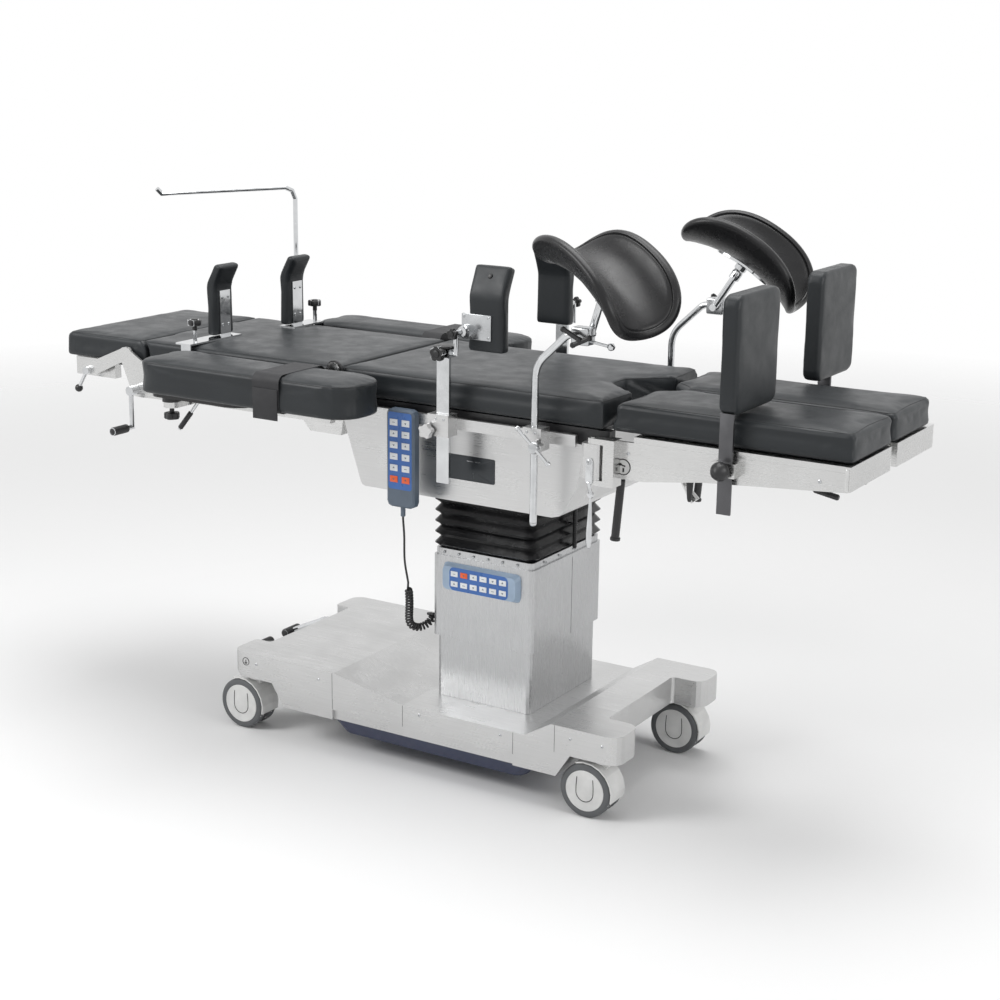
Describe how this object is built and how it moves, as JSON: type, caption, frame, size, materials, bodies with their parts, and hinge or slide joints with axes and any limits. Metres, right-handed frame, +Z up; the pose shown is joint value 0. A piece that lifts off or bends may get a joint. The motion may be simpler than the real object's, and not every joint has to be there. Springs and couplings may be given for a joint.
{
  "type": "electric operating table",
  "caption": "Mobile surgical table with lifting column, tilting sectioned padded top, arm boards, body supports and leg rests",
  "frame": {"origin": "on the floor under the middle of the table top", "axes": "+Z up, +X towards the foot end along the top, -Y the side with the handset"},
  "size_m": [2.1, 0.84, 1.2961],
  "materials": {
    "steel": "satin brushed",
    "chrome": "polished",
    "navy": "semi-matt paint",
    "grey": "matt paint",
    "white": "smooth",
    "black": "smooth",
    "bellows": "gloss folded",
    "cord": "matt",
    "pads": "fine-grained leatherette",
    "blue": "smooth",
    "foam": "semi-gloss moulded skin"
  },
  "bodies": {
    "base": {"base_cover": "steel", "base_tray": "navy", "lift_guide": "grey", "column_lower_shell": "steel"},
    "mid_column": {"column_mid_shell": "steel"},
    "lift": {"column_upper_shell": "steel", "control_panel": "blue", "lift_tube": "grey", "bellows": "bellows", "cord_straight": "cord", "cord_curly": "cord"},
    "cradle": {"gimbal_cross": "grey"},
    "table": {"saddle_housing": "steel", "seat_frame": "black", "seat_pad": "pads", "seat_rail_near": "steel", "seat_rail_far": "steel", "handset": "blue"},
    "back": {"back_frame": "black", "back_pad": "pads"},
    "head": {"head_frame": "black", "head_pad": "pads"},
    "head_lever": {"head_lever": "chrome"},
    "head_crank": {"head_crank": "chrome"},
    "brake_pedal": {"brake_pedal": "chrome"},
    "steer_pedal": {"steer_pedal": "black"},
    "screen_rod": {"screen_rod": "chrome"},
    "caster_near_head": {"caster_hood_near_head": "white"},
    "wheel_near_head": {"caster_wheels_near_head": "white"},
    "caster_near_foot": {"caster_hood_near_foot": "white"},
    "wheel_near_foot": {"caster_wheels_near_foot": "white"},
    "caster_far_head": {"caster_hood_far_head": "white"},
    "wheel_far_head": {"caster_wheels_far_head": "white"},
    "caster_far_foot": {"caster_hood_far_foot": "white"},
    "wheel_far_foot": {"caster_wheels_far_foot": "white"},
    "arm_near": {"arm_board_near": "pads", "arm_plate_near": "black"},
    "shoulder_near": {"shoulder_post_near": "chrome", "shoulder_pad_near": "pads"},
    "side_post_near": {"side_post_near": "chrome"},
    "side_pad_near": {"side_pad_near": "pads"},
    "leg_post_near": {"leg_post_near": "chrome"},
    "leg_rest_near": {"leg_rest_near": "foam"},
    "leg_hinge_near": {"leg_hinge_near": "steel"},
    "leg_near": {"leg_frame_near": "grey", "leg_pad_near": "pads"},
    "foot_board_near": {"foot_board_near": "pads"},
    "arm_far": {"arm_board_far": "pads", "arm_plate_far": "black"},
    "shoulder_far": {"shoulder_post_far": "chrome", "shoulder_pad_far": "pads"},
    "side_post_far": {"side_post_far": "chrome"},
    "side_pad_far": {"side_pad_far": "pads"},
    "leg_post_far": {"leg_post_far": "chrome"},
    "leg_rest_far": {"leg_rest_far": "foam"},
    "leg_hinge_far": {"leg_hinge_far": "steel"},
    "leg_far": {"leg_frame_far": "grey", "leg_pad_far": "pads"},
    "foot_board_far": {"foot_board_far": "pads"}
  },
  "joints": [
    {"name": "caster_swivel_near_head", "type": "hinge", "parent": "base", "child": "caster_near_head", "pos_m": [-0.453, -0.22, 0.14], "axis": [0, 0, 1], "continuous": true},
    {"name": "wheel_spin_near_head", "type": "hinge", "parent": "caster_near_head", "child": "wheel_near_head", "pos_m": [-0.488, -0.22, 0.0625], "axis": [0, 1, 0], "continuous": true},
    {"name": "caster_swivel_near_foot", "type": "hinge", "parent": "base", "child": "caster_near_foot", "pos_m": [0.519, -0.22, 0.14], "axis": [0, 0, 1], "continuous": true},
    {"name": "wheel_spin_near_foot", "type": "hinge", "parent": "caster_near_foot", "child": "wheel_near_foot", "pos_m": [0.484, -0.22, 0.0625], "axis": [0, 1, 0], "continuous": true},
    {"name": "caster_swivel_far_head", "type": "hinge", "parent": "base", "child": "caster_far_head", "pos_m": [-0.453, 0.22, 0.14], "axis": [0, 0, 1], "continuous": true},
    {"name": "wheel_spin_far_head", "type": "hinge", "parent": "caster_far_head", "child": "wheel_far_head", "pos_m": [-0.488, 0.22, 0.0625], "axis": [0, 1, 0], "continuous": true},
    {"name": "caster_swivel_far_foot", "type": "hinge", "parent": "base", "child": "caster_far_foot", "pos_m": [0.519, 0.22, 0.14], "axis": [0, 0, 1], "continuous": true},
    {"name": "wheel_spin_far_foot", "type": "hinge", "parent": "caster_far_foot", "child": "wheel_far_foot", "pos_m": [0.484, 0.22, 0.0625], "axis": [0, 1, 0], "continuous": true},
    {"name": "brake_pedal_tilt", "type": "hinge", "parent": "base", "child": "brake_pedal", "pos_m": [-0.478, 0.13, 0.176], "axis": [0, 1, 0], "range_deg": [-12, 8]},
    {"name": "steer_pedal_tilt", "type": "hinge", "parent": "base", "child": "steer_pedal", "pos_m": [-0.478, -0.1, 0.176], "axis": [0, 1, 0], "range_deg": [-12, 8]},
    {"name": "mid_column_lift", "type": "slide", "parent": "base", "child": "mid_column", "axis": [0, 0, 1], "range_m": [-0.065, 0.055]},
    {"name": "lift", "type": "slide", "parent": "base", "child": "lift", "axis": [0, 0, 1], "range_m": [-0.12, 0.1]},
    {"name": "lateral_tilt", "type": "hinge", "parent": "lift", "child": "cradle", "pos_m": [0.155, 0, 0.725], "axis": [1, 0, 0], "range_deg": [-15, 15], "deforming": ["bellows", "cord_straight", "cord_curly"]},
    {"name": "trendelenburg", "type": "hinge", "parent": "cradle", "child": "table", "pos_m": [0.155, 0, 0.725], "axis": [0, -1, 0], "range_deg": [-25, 25]},
    {"name": "back_tilt", "type": "hinge", "parent": "table", "child": "back", "pos_m": [-0.2, 0, 0.93], "axis": [0, 1, 0], "range_deg": [-7, 75]},
    {"name": "head_tilt", "type": "hinge", "parent": "back", "child": "head", "pos_m": [-0.835, 0, 0.9], "axis": [0, 1, 0], "range_deg": [-90, 45]},
    {"name": "head_lever_turn", "type": "hinge", "parent": "head", "child": "head_lever", "pos_m": [-0.965, -0.2388, 0.846], "axis": [0, 1, 0], "range_deg": [-30, 30]},
    {"name": "head_crank_turn", "type": "hinge", "parent": "back", "child": "head_crank", "pos_m": [-0.8, -0.2325, 0.816], "axis": [0, 1, 0], "continuous": true},
    {"name": "screen_rod_slide", "type": "slide", "parent": "back", "child": "screen_rod", "axis": [0, 0, 1], "range_m": [-0.15, 0.02]},
    {"name": "arm_swing_near", "type": "hinge", "parent": "back", "child": "arm_near", "pos_m": [-0.605, -0.336, 0.855], "axis": [0, 0, -1], "range_deg": [0, 90]},
    {"name": "shoulder_slide_near", "type": "slide", "parent": "back", "child": "shoulder_near", "axis": [1, 0, 0], "range_m": [-0.03, 0.06]},
    {"name": "side_post_slide_near", "type": "slide", "parent": "table", "child": "side_post_near", "axis": [0, 0, 1], "range_m": [-0.03, 0.1]},
    {"name": "side_pad_tilt_near", "type": "hinge", "parent": "side_post_near", "child": "side_pad_near", "pos_m": [0.151, -0.24, 1.052], "axis": [0, 1, 0], "range_deg": [-30, 30]},
    {"name": "leg_post_slide_near", "type": "slide", "parent": "table", "child": "leg_post_near", "axis": [0, 0, 1], "range_m": [-0.06, 0.12]},
    {"name": "leg_rest_tilt_near", "type": "hinge", "parent": "leg_post_near", "child": "leg_rest_near", "pos_m": [0.4685, -0.27, 1.078], "axis": [0, 1, 0], "range_deg": [-25, 35]},
    {"name": "leg_tilt_near", "type": "hinge", "parent": "table", "child": "leg_hinge_near", "pos_m": [0.49, -0.262, 0.815], "axis": [0, 1, 0], "range_deg": [0, 90]},
    {"name": "leg_swing_near", "type": "hinge", "parent": "leg_hinge_near", "child": "leg_near", "pos_m": [0.49, -0.262, 0.815], "axis": [0, 0, -1], "range_deg": [0, 90]},
    {"name": "foot_board_slide_near", "type": "slide", "parent": "leg_near", "child": "foot_board_near", "axis": [0, 0, 1], "range_m": [-0.0005, 0.06]},
    {"name": "arm_swing_far", "type": "hinge", "parent": "back", "child": "arm_far", "pos_m": [-0.605, 0.336, 0.855], "axis": [0, 0, 1], "range_deg": [0, 90]},
    {"name": "shoulder_slide_far", "type": "slide", "parent": "back", "child": "shoulder_far", "axis": [1, 0, 0], "range_m": [-0.03, 0.06]},
    {"name": "side_post_slide_far", "type": "slide", "parent": "table", "child": "side_post_far", "axis": [0, 0, 1], "range_m": [-0.03, 0.1]},
    {"name": "side_pad_tilt_far", "type": "hinge", "parent": "side_post_far", "child": "side_pad_far", "pos_m": [0.138, 0.24, 1.052], "axis": [0, 1, 0], "range_deg": [-30, 30]},
    {"name": "leg_post_slide_far", "type": "slide", "parent": "table", "child": "leg_post_far", "axis": [0, 0, 1], "range_m": [-0.06, 0.12]},
    {"name": "leg_rest_tilt_far", "type": "hinge", "parent": "leg_post_far", "child": "leg_rest_far", "pos_m": [0.5185, 0.27, 1.078], "axis": [0, 1, 0], "range_deg": [-25, 35]},
    {"name": "leg_tilt_far", "type": "hinge", "parent": "table", "child": "leg_hinge_far", "pos_m": [0.49, 0.262, 0.815], "axis": [0, 1, 0], "range_deg": [0, 90]},
    {"name": "leg_swing_far", "type": "hinge", "parent": "leg_hinge_far", "child": "leg_far", "pos_m": [0.49, 0.262, 0.815], "axis": [0, 0, 1], "range_deg": [0, 90]},
    {"name": "foot_board_slide_far", "type": "slide", "parent": "leg_far", "child": "foot_board_far", "axis": [0, 0, 1], "range_m": [-0.0005, 0.06]}
  ],
  "couplings": [
    {"joint": "mid_column_lift", "follows": "lift", "ratio": 0.5}
  ]
}
